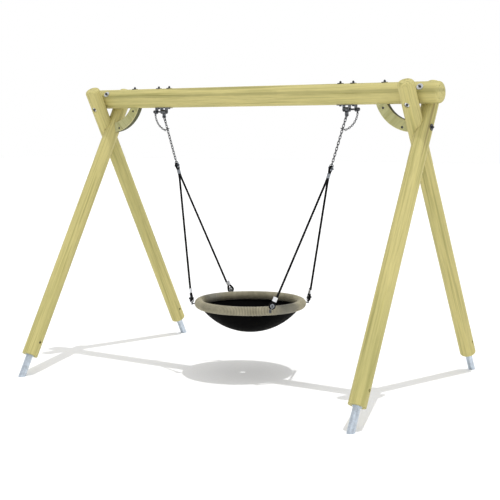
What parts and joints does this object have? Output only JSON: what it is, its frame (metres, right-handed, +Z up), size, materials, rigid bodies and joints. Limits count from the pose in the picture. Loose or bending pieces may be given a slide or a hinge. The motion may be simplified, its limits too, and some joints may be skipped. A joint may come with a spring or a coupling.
{
  "type": "nest swing",
  "caption": "Nest swing: round timber beam on crossed-leg frames, with bearing hangers, chains and ropes carrying a rope-wound ring with a bowl-shaped basket.",
  "frame": {"origin": "on the ground, under the middle of the beam", "axes": "+X along the beam, +Y from the front feet to the back feet, +Z up"},
  "size_m": [3.66, 2.543, 2.5932],
  "materials": {
    "timber": "round pressure-treated pine, pale yellow-green, satin",
    "galvanised": "hot-dip galvanised steel, matt blue-grey",
    "bolt_steel": "zinc-plated steel, slightly dulled",
    "hanger_steel": "dark zinc-coated steel",
    "chain_steel": "galvanised chain steel",
    "bush_plastic": "acetal bearing bush",
    "rope_black": "black laid synthetic rope",
    "ferrule_aluminium": "pressed aluminium, satin",
    "winding_rope": "khaki rope wound tightly round the ring",
    "padding_foam": "closed-cell foam",
    "basket_black": "black flexible moulded rubber, matt"
  },
  "bodies": {
    "frame": {"beam": "timber", "leg_left_front": "timber", "leg_left_back": "timber", "leg_right_front": "timber", "leg_right_back": "timber", "brace_left": "timber", "brace_right": "timber", "foot_left_front": "galvanised", "foot_left_back": "galvanised", "foot_right_front": "galvanised", "foot_right_back": "galvanised", "foot_bolts": "bolt_steel", "foot_nuts": "bolt_steel", "saddle_bolts": "bolt_steel", "saddle_head_washers": "galvanised", "saddle_washers": "galvanised", "saddle_nuts": "bolt_steel", "crossing_bolts": "bolt_steel", "crossing_washers": "galvanised", "brace_bolts": "bolt_steel", "brace_washers": "galvanised", "brace_nuts": "bolt_steel", "barrel_nuts": "bolt_steel", "hanger_bracket_left": "hanger_steel", "hanger_bracket_right": "hanger_steel", "hanger_bolts": "bolt_steel", "hanger_washers": "galvanised", "hanger_nuts": "bolt_steel", "pivot_pins": "bolt_steel", "pivot_nuts": "bolt_steel"},
    "suspension": {"swivel_left": "hanger_steel", "swivel_right": "hanger_steel", "swivel_bushes": "bush_plastic", "hanger_shackles": "hanger_steel", "hanger_shackle_pins": "bolt_steel", "chain_left": "chain_steel", "chain_right": "chain_steel", "safety_eyes": "bolt_steel", "safety_chain_left": "chain_steel", "safety_chain_right": "chain_steel", "safety_joiners": "chain_steel", "apex_shackles": "chain_steel", "apex_shackle_pins": "chain_steel"},
    "nest": {"apex_eyes": "rope_black", "apex_thimbles": "galvanised", "apex_ferrules": "ferrule_aluminium", "rope_left_front": "rope_black", "rope_left_back": "rope_black", "rope_right_front": "rope_black", "rope_right_back": "rope_black", "rope_eyes": "rope_black", "rope_thimbles": "galvanised", "rope_ferrules": "ferrule_aluminium", "ring_shackles": "chain_steel", "ring_shackle_pins": "chain_steel", "ring_lugs": "galvanised", "ring_core": "galvanised", "ring_padding": "padding_foam", "ring_winding": "winding_rope", "basket": "basket_black"}
  },
  "joints": [
    {"name": "swing", "type": "hinge", "parent": "frame", "child": "suspension", "pos_m": [0, 0, 2.352], "axis": [1, 0, 0], "range_deg": [-55, 55]},
    {"name": "nest_rock", "type": "hinge", "parent": "suspension", "child": "nest", "pos_m": [0, 0, 1.85232], "axis": [1, 0, 0], "range_deg": [-18, 18]}
  ]
}
